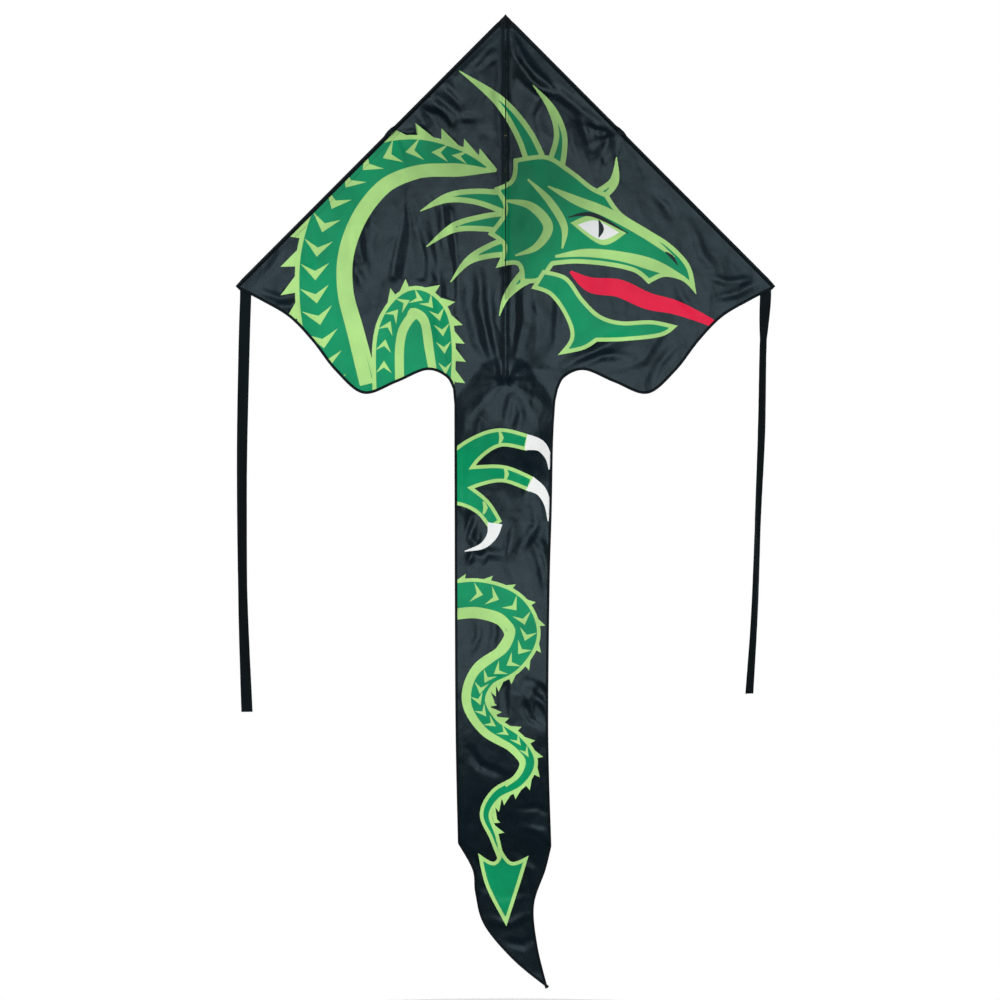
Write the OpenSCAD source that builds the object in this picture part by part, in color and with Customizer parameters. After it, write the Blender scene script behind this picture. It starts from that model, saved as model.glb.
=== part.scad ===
// Single-line dragon kite: a delta sail on fibreglass rods, with a keel, a long
// cloth tail and two wing-tip streamers. Millimetres. +Z is up along the spine
// towards the nose, -Y is the printed face, and the origin is the centre of the
// keel's eyelet, where the flying line is clipped.

/* [Sail] */
// Width from wing tip to wing tip
span = 1219; // [1100:1:1300]
// How far the wing tips lie below the nose
wing_drop = 612; // [560:1:680]
// Thickness of the cloth
cloth = 0.8; // [0.6:0.1:1.2]
// Width of a sewn hem
hem_w = 8; // [6:1:10]

/* [Tail] */
// Length from the fold under the spine to the flame-shaped tip
tail_l = 1350; // [1250:10:1450]
// Width of the tail
tail_w = 216; // [210:1:222]
// Depth of the slow wave that the tail hangs in
tail_wave = 12; // [0:1:20]

/* [Streamers] */
// Width of a streamer
streamer_w = 25.4; // [20:0.1:30]
// Height of the left streamer as it hangs
left_streamer_l = 925; // [800:5:1000]
// Height of the right streamer as it hangs
right_streamer_l = 884; // [800:5:1000]

/* [Rods] */
// Diameter of the spine and the leading-edge spars
rod_d = 4; // [3:0.5:5]
// Diameter of the spreader
spreader_d = 5; // [4:0.5:6]
// Distance from the nose to the spine's lower end
spine_end = 816; // [780:1:830]
// Distance from the nose along the leading edge to the spreader's hooks
hook_at = 372; // [340:1:400]

/* [Keel] */
// Height of the eyelet in front of the sail
keel_depth = 150; // [120:1:180]
// Distance of the eyelet below the nose
tow_drop = 290; // [260:1:320]
// Where the keel starts below the nose
keel_top = 70; // [60:1:100]
// Where the keel ends below the nose
keel_bottom = 640; // [580:1:680]
// Radius of the eyelet's hole
eyelet_r = 3.5; // [3:0.1:4]

/* [Hidden] */

$fn = 48;
left = -1;
right = 1;
gap = 0.1;                                  // between cloth layers sewn together
rod_r = rod_d / 2;
half = span / 2;

// Leading edge: its angle below the horizontal and its length from the nose
edge_angle = atan2(wing_drop, half);
edge_l = sqrt(half * half + wing_drop * wing_drop);

// Sleeve tube round a leading-edge spar, and its cap
sleeve_r = 4;
sleeve_wall = 0.6;
sleeve_flange = 16;
sleeve_start = 38;
sleeve_stop = edge_l - 3;
window_r = 15;                              // cut-out that bares the spar for a spreader hook
cap_wall = 1.15;
cap_l = 14;
spar_start = 52;
spar_stop = edge_l - 22;

// Centre strip: the sail's middle, sewn round the spine
strip_half = 7;
fold_x = 8;                                 // each wing folds about a line this far out
panel_in = fold_x + 0.2;
panel_edge = 2 * sleeve_r + 0.3;            // sail cloth starts this far inside the edge

// Where the tail folds under the spine
fold_drop = 845;
fold_half = 118;

// Keel: it turns on a line just in front of the spine sleeve
spine_sleeve_r = 3.7;
keel_hinge_y = keel_depth - spine_sleeve_r - 0.7;
keel_back = keel_hinge_y - 0.4;
flange_r = 7.5;
barrel_wall = 0.7;
flange_t = 0.7;
patch_t = 0.5;
keel_r = 16;
keel_t = cloth;

// Spreader
spreader_r = spreader_d / 2;
spreader_back = 7.6;                        // its axis behind the sail
hook_half = 4.6;
hook_l = 12;
hook_back = spreader_back + 4.6;
hook_slot = rod_r + 0.15;
socket_l = 24;
socket_wall = 1.5;

// ------------------------------------------------------------------ curves

// A smooth curve through points, with n steps from each to the next
function bend(a, b, c, d, t) =
    0.5 * (2 * b + (c - a) * t + (2 * a - 5 * b + 4 * c - d) * t * t
        + (3 * b - a - 3 * c + d) * t * t * t);
function curve(p, n = 6) = [
    for (i = [0:len(p) - 2], k = [0:n - (i == len(p) - 2 ? 0 : 1)])
        bend(p[max(i - 1, 0)], p[i], p[i + 1], p[min(i + 2, len(p) - 1)], k / n)
];
// The same curve moved sideways by w, to the right of its direction
function side_step(p, w) = [
    for (i = [0:len(p) - 1])
        let (d = p[min(i + 1, len(p) - 1)] - p[max(i - 1, 0)], l = norm(d))
            p[i] + w * [d[1], -d[0]] / l
];
function backwards(p) = [for (i = [len(p) - 1:-1:0]) p[i]];
function band(p, w) = concat(p, backwards(side_step(p, w)));
function flipped(p, side) = [for (q = p) [side * q[0], q[1]]];

// A point s along the leading edge and w inside it, seen from the front with the nose at 0, 0
function on_edge(s, w) = [
    s * cos(edge_angle) - w * sin(edge_angle),
    -s * sin(edge_angle) - w * cos(edge_angle)
];
// Where the line w inside the leading edge is x from the middle
function edge_at_x(x, w) = on_edge((x + w * sin(edge_angle)) / cos(edge_angle), w);

// The scalloped trailing edge, from the wing tip to the tail
trailing_edge = curve([
    on_edge(edge_l, panel_edge),
    [half - 62, -wing_drop - 35],
    [half - 122, -wing_drop - 71],
    [half - 174, -wing_drop - 125],
    [half - 226, -wing_drop - 192],
    [320, -855],
    [246, -830],
    [178, -802],
    [134, -817],
    [fold_half, 1.2 - fold_drop]
]);

// How far behind the flat the hanging tail lies, d below its fold
function tail_y(d) = tail_wave * sin(d * 0.36) * min(1, d / 300);
// The same for a streamer, whose waves get deeper downwards
function streamer_y(d, wave, turns) = wave * sin(d * turns) * min(1, d / 200);

// Edges of the tail below the nose: the straight sides, then the flame-shaped tip
tail_top = fold_drop + 0.7;
tail_low = fold_drop + tail_l;
side_l = tail_l - 320;                      // length of the tail's straight sides
tail_left = concat([[-fold_half, -tail_top], [-tail_w / 2, -tail_top - 40]], curve([
    [-tail_w / 2, -tail_low + 320], [-76, -tail_low + 264],
    [-71, -tail_low + 214], [-51, -tail_low + 142], [16, -tail_low + 63],
    [95, -tail_low]
]));
tail_right = concat([[fold_half, -tail_top], [tail_w / 2, -tail_top - 40]], curve([
    [tail_w / 2, -tail_low + 320],
    [88, -tail_low + 265], [61, -tail_low + 187], [69, -tail_low + 94],
    [95, -tail_low]
]));
tail_outline = concat(tail_left, [for (i = [len(tail_right) - 2:-1:0]) tail_right[i]]);

// ------------------------------------------------------------------ placing

// A flat outline seen from the front, as cloth of thickness t whose middle is y behind the sail
module plate(outline, y = 0, t = cloth) {
    translate([0, keel_depth + y + t / 2, tow_drop])
        rotate([90, 0, 0])
            linear_extrude(t) polygon(outline);
}

// Local X runs down a leading edge from the nose, local Y inwards and local Z to the back
module along_edge(side) {
    mirror([side == left ? 1 : 0, 0, 0])
        translate([0, keel_depth, tow_drop])
            rotate([0, edge_angle, 0])
                rotate([-90, 0, 0])
                    children();
}

// A section in local Y and Z, drawn out along local X
module run_x(from, to) {
    translate([from, 0, 0]) rotate([90, 0, 90]) linear_extrude(to - from) children();
}

// A rod along local X
module rod_x(from, to, r) {
    translate([from, 0, 0]) rotate([0, 90, 0]) cylinder(h = to - from, r = r);
}

// A blind cap over the end of a rod that lies along local X, with its mouth at from
module cap_x(from, to) {
    base = to > from ? to : from;
    difference() {
        rod_x(min(from, to), max(from, to), rod_r + cap_wall);
        if (to > from) rod_x(from - 1, to - 2, rod_r + 0.05);
        else rod_x(to + 2, base + 1, rod_r + 0.05);
    }
}

// The side section of the keel: Y to the left, Z up, drawn out to both sides of the middle
module keel_plate(outline, from, to) {
    translate([from, 0, tow_drop])
        rotate([90, 0, 90])
            linear_extrude(to - from) polygon(outline);
}

// ------------------------------------------------------------------ spine

module along_spine() {
    translate([0, keel_depth, tow_drop]) rotate([0, 90, 0]) children();
}

module spine_rod() {
    color("dimgray") along_spine() rod_x(16, spine_end, rod_r);
}

module spine_nose_cap() {
    color("black") along_spine() cap_x(26, 12);
}

module spine_tail_cap() {
    color("black") along_spine() cap_x(spine_end - 12, spine_end + 2.2);
}

module spine_sleeve() {
    color([0.1, 0.11, 0.12]) along_spine() run_x(12, spine_end + 3) difference() {
        union() {
            circle(r = spine_sleeve_r);
            square([cloth, 2 * strip_half], center = true);
        }
        circle(r = 3.3);
    }
}

module nose_binding() {
    outline = [[0, 0], [strip_half, -strip_half], [strip_half, -34],
        [-strip_half, -34], [-strip_half, -strip_half]];
    color("black") {
        plate(outline, -4.4, cloth);
        plate(outline, 4.4, cloth);
        plate([[0, 0], [strip_half, -strip_half], [strip_half, -10.5],
            [-strip_half, -10.5], [-strip_half, -strip_half]], 0, 9.2);
    }
}

module spine_end_patch() {
    color("black") plate([
        [-strip_half, -spine_end - 3.6], [strip_half, -spine_end - 3.6],
        [strip_half, 1.2 - fold_drop], [-strip_half, 1.2 - fold_drop]
    ]);
}

// ------------------------------------------------------------------ keel

keel_top_point = [keel_back, -keel_top];
keel_low_point = [keel_back, -keel_bottom];
eyelet_point = [0, -tow_drop];
// Directions from the ends of the keel's seam to the eyelet
top_angle = atan2(eyelet_point[1] - keel_top_point[1], -keel_back);
low_angle = atan2(eyelet_point[1] - keel_low_point[1], -keel_back);
// The rounded nose of the keel, from its upper edge to its lower edge
keel_nose = [
    for (k = [0:10])
        let (a = 360 + top_angle - 90 + (low_angle + 90 - (360 + top_angle - 90)) * k / 10)
            eyelet_point + keel_r * [cos(a), sin(a)]
];
keel_outline = concat([keel_top_point], keel_nose, [keel_low_point]);

module eyelet_hole(r) {
    rotate([0, 90, 0]) cylinder(h = 20, r = r, center = true);
}

module keel() {
    color([0.1, 0.11, 0.12]) difference() {
        keel_plate(keel_outline, -keel_t / 2, keel_t / 2);
        eyelet_hole(eyelet_r + barrel_wall + 0.1);
    }
}

module keel_hem() {
    upper = [keel_top_point, keel_nose[0]];
    lower = [keel_nose[len(keel_nose) - 1], keel_low_point];
    color("black") for (face = [left, right], edge = [upper, lower]) {
        along = (edge[1] - edge[0]) / norm(edge[1] - edge[0]);
        inner = hem_w * [-along[1], along[0]];
        from = face * (keel_t / 2 + gap);
        keel_plate([
            edge[0] + 26 * along, edge[1] - 26 * along,
            edge[1] - 26 * along + inner, edge[0] + 26 * along + inner
        ], min(from, from + face * 0.4), max(from, from + face * 0.4));
    }
}

module keel_patch() {
    color("black") for (face = [left, right]) {
        from = face * (keel_t / 2 + gap);
        difference() {
            translate([min(from, from + face * patch_t), 0, 0])
                rotate([0, 90, 0]) cylinder(h = patch_t, r = flange_r + 1.6);
            eyelet_hole(eyelet_r + barrel_wall + 0.1);
        }
    }
}

patch_face = keel_t / 2 + gap + patch_t + 0.05;

module tow_eyelet() {
    color("gold") difference() {
        union() {
            translate([-patch_face - flange_t, 0, 0]) rotate([0, 90, 0])
                cylinder(h = flange_t, r = flange_r);
            translate([-patch_face - flange_t, 0, 0]) rotate([0, 90, 0])
                cylinder(h = 2 * (patch_face + flange_t), r = eyelet_r + barrel_wall);
        }
        eyelet_hole(eyelet_r);
    }
}

module tow_eyelet_washer() {
    color("gold") difference() {
        translate([patch_face, 0, 0]) rotate([0, 90, 0]) cylinder(h = flange_t, r = flange_r);
        eyelet_hole(eyelet_r + barrel_wall + 0.05);
    }
}

// ------------------------------------------------------------------ wings

module sail_panel(side) {
    inner = edge_at_x(panel_in, panel_edge);
    outline = concat([inner], trailing_edge, [[panel_in, 1.2 - fold_drop]]);
    color([0.1, 0.11, 0.12]) difference() {
        plate(flipped(outline, side));
        along_edge(side) translate([hook_at, -3, -5]) cylinder(h = 10, r = window_r);
    }
}

module edge_sleeve(side) {
    color("black") along_edge(side) difference() {
        union() {
            translate([0, sleeve_r, 0]) run_x(sleeve_start, sleeve_stop) circle(r = sleeve_r);
            run_x(sleeve_start, sleeve_stop - sleeve_flange)
                translate([sleeve_r, cloth / 2 + gap]) square([sleeve_flange, 0.5]);
        }
        translate([0, sleeve_r, 0])
            rod_x(sleeve_start - 1, sleeve_stop + 1, sleeve_r - sleeve_wall);
        translate([hook_at - window_r, -1, -10]) cube([2 * window_r, 10, 20]);
        translate([hook_at, -3, -5]) cylinder(h = 10, r = window_r);
    }
}

module edge_spar(side) {
    color("dimgray") along_edge(side) translate([0, sleeve_r, 0])
        rod_x(spar_start, spar_stop, rod_r);
}

module spar_nose_cap(side) {
    color("black") along_edge(side) translate([0, sleeve_r, 0])
        cap_x(spar_start + cap_l - 2.2, spar_start - 2.2);
}

module spar_tip_cap(side) {
    color("black") along_edge(side) translate([0, sleeve_r, 0])
        cap_x(spar_stop - cap_l + 2.2, spar_stop + 2.2);
}

module nose_patch(side) {
    top = edge_at_x(fold_x + 0.6, panel_edge + 1);
    color("black") plate(flipped([
        top, edge_at_x(44, panel_edge + 1), [fold_x + 0.6, -74]
    ], side), -cloth / 2 - gap - 0.2, 0.4);
}

module wing_tip_patch(side) {
    color("black") plate(flipped([
        on_edge(edge_l - 6, panel_edge + 1), on_edge(edge_l - 74, panel_edge + 1),
        [half - 60, -wing_drop - 30]
    ], side), cloth / 2 + gap + 0.85, 0.4);
}

module trailing_hem(side) {
    edge = [for (i = [7:len(trailing_edge) - 3]) trailing_edge[i]];
    color("black")
        plate(flipped(band(side_step(edge, 0.3), hem_w), side), cloth / 2 + gap + 0.2, 0.4);
}

// ------------------------------------------------------------------ spreader

hook_point = on_edge(hook_at, sleeve_r);    // where a hook sits on its spar, from the front

module spreader_rod() {
    reach = hook_point[0] - 5;
    color("dimgray") translate([-reach, keel_depth + spreader_back, tow_drop + hook_point[1]])
        rotate([0, 90, 0]) cylinder(h = 2 * reach, r = spreader_r);
}

module spreader_hook(side) {
    root = hook_point[0];
    color("black") difference() {
        union() {
            along_edge(side)
                translate([hook_at - hook_l / 2, sleeve_r - hook_half, -rod_r - 1])
                    cube([hook_l, 2 * hook_half, hook_back + rod_r + 1]);
            translate([side * root, keel_depth + spreader_back, tow_drop + hook_point[1]])
                rotate([0, -90 * side, 0])
                    cylinder(h = socket_l, r = spreader_r + socket_wall);
        }
        along_edge(side) translate([0, sleeve_r, 0]) {
            rod_x(hook_at - 20, hook_at + 20, hook_slot);
            translate([hook_at - 20, -hook_slot, -20]) cube([40, 2 * hook_slot, 20]);
        }
        translate([side * (root - 4.9), keel_depth + spreader_back, tow_drop + hook_point[1]])
            rotate([0, -90 * side, 0]) cylinder(h = 40, r = spreader_r + 0.05);
    }
}

// ------------------------------------------------------------------ tail

// A hanging sheet seen from the side: its wavy section, drawn out sideways
module hanging(top, l, half_w, f, t) {
    steps = ceil(l / 25);
    front = [for (k = [0:steps]) let (d = l * k / steps) [f[k] - t / 2, -d]];
    back = [for (k = [steps:-1:0]) let (d = l * k / steps) [f[k] + t / 2, -d]];
    translate([-half_w, keel_depth, tow_drop - top])
        rotate([90, 0, 90])
            linear_extrude(2 * half_w) polygon(concat(front, back));
}

function tail_wave_at(shift) = [
    for (k = [0:ceil(tail_l / 25)]) tail_y(tail_l * k / ceil(tail_l / 25)) + shift
];

module tail_panel() {
    color([0.1, 0.11, 0.12]) intersection() {
        hanging(tail_top, tail_l, 150, tail_wave_at(0), cloth);
        plate(tail_outline, 0, 60);
    }
}

module tail_hem() {
    color("black") for (side = [left, right])
        translate([side * (tail_w / 2 - 0.3 - hem_w / 2), 0, -40])
            hanging(tail_top, side_l - 40, hem_w / 2,
                [for (k = [0:ceil((side_l - 40) / 25)])
                    tail_y(40 + (side_l - 40) * k / ceil((side_l - 40) / 25))
                        + cloth / 2 + gap + 0.4], 0.4);
}

module streamer(side, l, wave, turns) {
    steps = ceil(l / 25);
    centre = side * (half - 24);
    translate([centre, 0, 0])
        hanging(wing_drop + 30, l, streamer_w / 2,
            [for (k = [0:steps]) streamer_y(l * k / steps, wave, turns) + 1.6], 1);
}

module left_streamer() {
    color("black") streamer(left, left_streamer_l, 9, 0.62);
}

module right_streamer() {
    color("black") streamer(right, right_streamer_l, 20, 1.16);
}

// ------------------------------------------------------------------ nodes

spine_rod();
spine_nose_cap();
spine_tail_cap();
spine_sleeve();
nose_binding();
spine_end_patch();
keel();
keel_hem();
keel_patch();
tow_eyelet();
tow_eyelet_washer();
sail_panel(left);  // left_sail_panel
edge_sleeve(left);  // left_edge_sleeve
edge_spar(left);  // left_edge_spar
spar_nose_cap(left);  // left_spar_nose_cap
spar_tip_cap(left);  // left_spar_tip_cap
nose_patch(left);  // left_nose_patch
wing_tip_patch(left);  // left_wing_tip_patch
trailing_hem(left);  // left_trailing_hem
sail_panel(right);  // right_sail_panel
edge_sleeve(right);  // right_edge_sleeve
edge_spar(right);  // right_edge_spar
spar_nose_cap(right);  // right_spar_nose_cap
spar_tip_cap(right);  // right_spar_tip_cap
nose_patch(right);  // right_nose_patch
wing_tip_patch(right);  // right_wing_tip_patch
trailing_hem(right);  // right_trailing_hem
spreader_rod();
spreader_hook(left);  // left_spreader_hook
spreader_hook(right);  // right_spreader_hook
tail_panel();
tail_hem();
left_streamer();
right_streamer();
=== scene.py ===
"""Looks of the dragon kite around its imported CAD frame.

Plans are drawn in millimetres on the flat sail: x to the right, z upwards from the nose,
seen from the printed face, and y is how far behind the sail a point lies.
"""
import math

import bpy
import numpy as np
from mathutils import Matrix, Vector, geometry, noise


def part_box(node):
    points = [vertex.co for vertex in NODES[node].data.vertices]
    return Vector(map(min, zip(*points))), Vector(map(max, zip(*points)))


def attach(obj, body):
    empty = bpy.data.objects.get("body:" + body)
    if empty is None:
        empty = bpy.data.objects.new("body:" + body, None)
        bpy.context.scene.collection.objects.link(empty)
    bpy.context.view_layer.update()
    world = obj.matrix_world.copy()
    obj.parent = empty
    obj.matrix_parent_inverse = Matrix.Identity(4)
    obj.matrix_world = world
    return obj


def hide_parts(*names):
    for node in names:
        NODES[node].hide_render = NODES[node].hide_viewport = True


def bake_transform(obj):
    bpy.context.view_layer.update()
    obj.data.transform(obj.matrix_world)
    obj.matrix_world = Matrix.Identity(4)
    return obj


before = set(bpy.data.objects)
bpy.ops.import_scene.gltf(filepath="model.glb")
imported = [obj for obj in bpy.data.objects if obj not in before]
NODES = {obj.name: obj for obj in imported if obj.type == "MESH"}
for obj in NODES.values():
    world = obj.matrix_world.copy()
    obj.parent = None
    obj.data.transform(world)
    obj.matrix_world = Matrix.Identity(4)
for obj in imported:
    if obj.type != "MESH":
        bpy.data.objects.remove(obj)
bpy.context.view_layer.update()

scene = bpy.context.scene
MM = 0.001

rod_lo, rod_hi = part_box("spine_rod")
SAIL_Y = (rod_lo.y + rod_hi.y) / 2 / MM
NOSE_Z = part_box("nose_binding")[1].z / MM

# ------------------------------------------------------------------ the flat plan

HALF, DROP = 609.5, 612.0
EDGE_L = math.hypot(HALF, DROP)
EC, ES = HALF / EDGE_L, DROP / EDGE_L
HINGE_X = 8.0            # each wing folds about a line this far from the middle
SEAM_W = 8.0             # the black leading-edge sleeve is this wide on the front
FOLD_Z = -845.0          # the tail folds here
FOOT = 118.0             # half the width of the sail's foot, where the tail goes on
SPINE_END = -816.0
TAIL_LOW = -2195.0
HOOK_AT = 372.0          # along the leading edge, to the spreader's hooks
TOW_Z = -290.0           # the eyelet
EYELET_R = 3.9           # the hole in the cloth, under the eyelet's rim


def on_edge(s, w):
    return (s * EC - w * ES, -s * ES - w * EC)


def edge_w(x, z):
    """How far inside the leading edge a point lies."""
    return -np.abs(x) * ES - z * EC


def spline(points, step=6.0):
    """A smooth open curve through points, in steps of about that many millimetres."""
    out = []
    for i in range(len(points) - 1):
        a, b = points[max(i - 1, 0)], points[i]
        c, d = points[i + 1], points[min(i + 2, len(points) - 1)]
        n = max(2, int(math.dist(b, c) / step))
        for k in range(n):
            t = k / n
            out.append(tuple(
                0.5 * (2 * q + (r - p) * t + (2 * p - 5 * q + 4 * r - s) * t * t
                       + (3 * q - p - 3 * r + s) * t * t * t)
                for p, q, r, s in zip(a, b, c, d)))
    out.append(tuple(points[-1]))
    return out


def outline(points):
    """A closed outline. A point with a third value is a sharp corner, the others are smooth."""
    n = len(points)
    corners = [i for i, p in enumerate(points) if len(p) == 3]
    start = corners[0]
    ring = [points[(start + i) % n] for i in range(n)] + [points[start]]
    out, run = [], [ring[0][:2]]
    for p in ring[1:]:
        run.append(p[:2])
        if len(p) == 3:
            out += spline(run)[:-1]
            run = [p[:2]]
    return out


def ribbon(points):
    """The closed outline of a brush stroke: its points are x, z and half the width there."""
    line = spline(points)
    left, right = [], []
    for i, (x, z, w) in enumerate(line):
        a, b = line[max(i - 1, 0)], line[min(i + 1, len(line) - 1)]
        dx, dz = b[0] - a[0], b[1] - a[1]
        ln = math.hypot(dx, dz) or 1.0
        w = max(w, 0.15)
        left.append((x - dz / ln * w, z + dx / ln * w))
        right.append((x + dz / ln * w, z - dx / ln * w))
    return left + right[::-1]


TRAILING = spline([
    on_edge(EDGE_L, SEAM_W), (547, -647), (487, -683), (435, -737), (383, -804),
    (320, -855), (246, -830), (178, -802), (134, -817), (FOOT, FOLD_Z)])
TAIL_RIGHT = ([(FOOT, FOLD_Z)] + spline([(112, -872), (107, -960), (104, -1120), (99, -1300), (96, -1620),
                                         (103, -1874)], 12)
              + spline([(103, -1874), (90, -1928), (64, -2008), (72, -2101), (95, TAIL_LOW)])[1:])
TAIL_LEFT = ([(-FOOT, FOLD_Z)] + spline([(-115, -880), (-114, -1300), (-112, -1620), (-107, -1868)], 12)
             + spline([(-107, -1868), (-74, -1928), (-68, -1981), (-48, -2053), (18, -2132),
                       (95, TAIL_LOW)])[1:])
NOSE_W = 0.9             # the cloth reaches this near the edge at the nose
NOSE = [on_edge(17, NOSE_W), on_edge(24, SEAM_W)]
SILHOUETTE = (
    [(0.0, -NOSE_W / EC)] + NOSE + TRAILING + TAIL_RIGHT[1:]
    + TAIL_LEFT[::-1][1:] + [(-x, z) for x, z in (NOSE + TRAILING)[::-1]][1:])

# ------------------------------------------------------------------ the print, a dragon

C = 1                    # marks a sharp corner
DARK, LIGHT, GREEN, WHITE, RED, BLACK = range(6)


def frames(points, gap):
    """Places along a stroke, each with its half width, direction and normal."""
    line = spline(points, gap)
    for (x, z, w), (u, v, _) in zip(line, line[1:]):
        ln = math.hypot(u - x, v - z)
        dx, dz = (u - x) / ln, (v - z) / ln
        yield x, z, w, dx, dz, -dz, dx


def fins(points, gap, tall, side):
    """Spikes that lean back along one side of a stroke."""
    out = []
    for x, z, w, dx, dz, nx, nz in frames(points, gap):
        foot, tip = side * w * 0.9, side * (w + tall)
        out.append([(x + nx * foot, z + nz * foot),
                    (x + nx * tip + dx * gap * 0.9, z + nz * tip + dz * gap * 0.9),
                    (x + nx * foot + dx * gap * 0.8, z + nz * foot + dz * gap * 0.8)])
    return out


def chevrons(points, gap, shift, deep):
    """Scales in a row down a stroke, as arrowheads that point along it."""
    out = []
    for x, z, w, dx, dz, nx, nz in frames(points, gap):
        cx, cz = x + nx * w * shift, z + nz * w * shift
        half = w * 0.5
        out.append([(cx + nx * half - dx * deep, cz + nz * half - dz * deep),
                    (cx + dx * deep, cz + dz * deep),
                    (cx - nx * half - dx * deep, cz - nz * half - dz * deep),
                    (cx - dx * deep * 0.1, cz - dz * deep * 0.1)])
    return out


def beside(points, share, half):
    """A thinner stroke that keeps to one side of another."""
    return ribbon([(x + nx * w * share, z + nz * w * share, half * min(1.0, w / 30))
                   for x, z, w, dx, dz, nx, nz in frames(points, 30.0)])


def arch(cx, cz, rx, rz, low):
    """A round-topped shape whose legs run down to low."""
    return [(cx - rx, low)] + [(cx - rx * math.cos(a), cz + rz * math.sin(a))
                               for a in np.linspace(0, math.pi, 24)] + [(cx + rx, low)]


# Strokes have points of x, z and half the width there
BODY = [(-20, -352, 3), (-104, -330, 32), (-204, -322, 50), (-296, -352, 60), (-366, -430, 64),
        (-404, -530, 64), (-408, -630, 66), (-390, -730, 74), (-366, -870, 88)]
COIL = [(-262, -890, 36), (-264, -748, 36), (-244, -682, 36), (-202, -648, 36), (-160, -680, 36),
        (-147, -752, 35), (-141, -836, 26)]
SKULL = outline([
    (18, -326, C), (92, -318), (150, -352), (196, -388), (230, -404, C), (262, -448), (322, -486),
    (374, -520), (416, -568), (430, -632, C), (400, -602), (358, -592), (322, -608, C), (290, -582),
    (230, -568), (160, -562), (108, -566, C), (78, -602), (34, -606, C), (26, -566), (-22, -572, C),
    (-6, -524), (-40, -496, C), (-4, -442), (-26, -392, C), (12, -372)])
JAW = outline([
    (84, -576, C), (138, -592), (176, -642), (214, -678), (262, -692), (330, -690), (388, -702, C),
    (352, -726), (272, -736), (206, -738, C), (176, -756), (118, -768, C), (146, -728), (134, -682),
    (100, -634), (58, -618, C)])
HORNS = [
    [(74, -350, 26), (42, -272, 21), (-14, -196, 13), (-104, -128, 1)],
    [(112, -344, 22), (124, -276, 15), (104, -214, 9), (62, -160, 1)],
    [(206, -412, 16), (244, -378, 11), (250, -322, 1)],
    [(20, -430, 30), (-60, -412, 19), (-130, -414, 11), (-192, -444, 1)],
    [(20, -470, 30), (-50, -470, 20), (-118, -482, 11), (-178, -524, 1)],
    [(30, -520, 28), (-30, -532, 18), (-84, -556, 9), (-124, -604, 1)],
    [(60, -580, 22), (28, -606, 14), (0, -640, 7), (-14, -680, 1)]]
TOES = [
    [(-134, -1046, 40), (-76, -984, 28), (-14, -954, 21), (52, -966, 18)],
    [(-134, -1058, 36), (-62, -1040, 24), (-2, -1036, 19), (60, -1060, 17)],
    [(-134, -1068, 36), (-88, -1086, 25), (-50, -1112, 20), (-22, -1152, 17)]]
TALONS = [
    [(46, -964, 18), (78, -972, 13), (96, -998, 7), (98, -1026, 1)],
    [(54, -1057, 17), (80, -1074, 12), (94, -1104, 7), (96, -1142, 1)],
    [(-24, -1147, 17), (-30, -1174, 12), (-52, -1198, 7), (-92, -1210, 1)]]
SERPENT = [
    (-150, -1326, 44), (-66, -1316, 45), (8, -1340, 44), (38, -1396, 41), (8, -1452, 38),
    (-48, -1490, 34), (-68, -1546, 30), (-36, -1602, 27), (22, -1640, 24), (52, -1684, 21),
    (30, -1728, 18), (-20, -1758, 16), (-44, -1802, 14), (-26, -1852, 11), (-10, -1904, 7)]
LEAF = outline([
    (-10, -1880, C), (14, -1910), (52, -1896, C), (34, -1956), (2, -2056, C), (-44, -1966),
    (-62, -1890, C), (-26, -1910)])


def ringed(shapes, inset):
    """Shapes in the light ink with the green inside, so that a light border is left."""
    return [(shape, LIGHT, 0) for shape in shapes] + [(shape, GREEN, inset) for shape in shapes]


def all_in(shapes, ink):
    """Shapes in one ink."""
    return [(shape, ink, 0) for shape in shapes]


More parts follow.
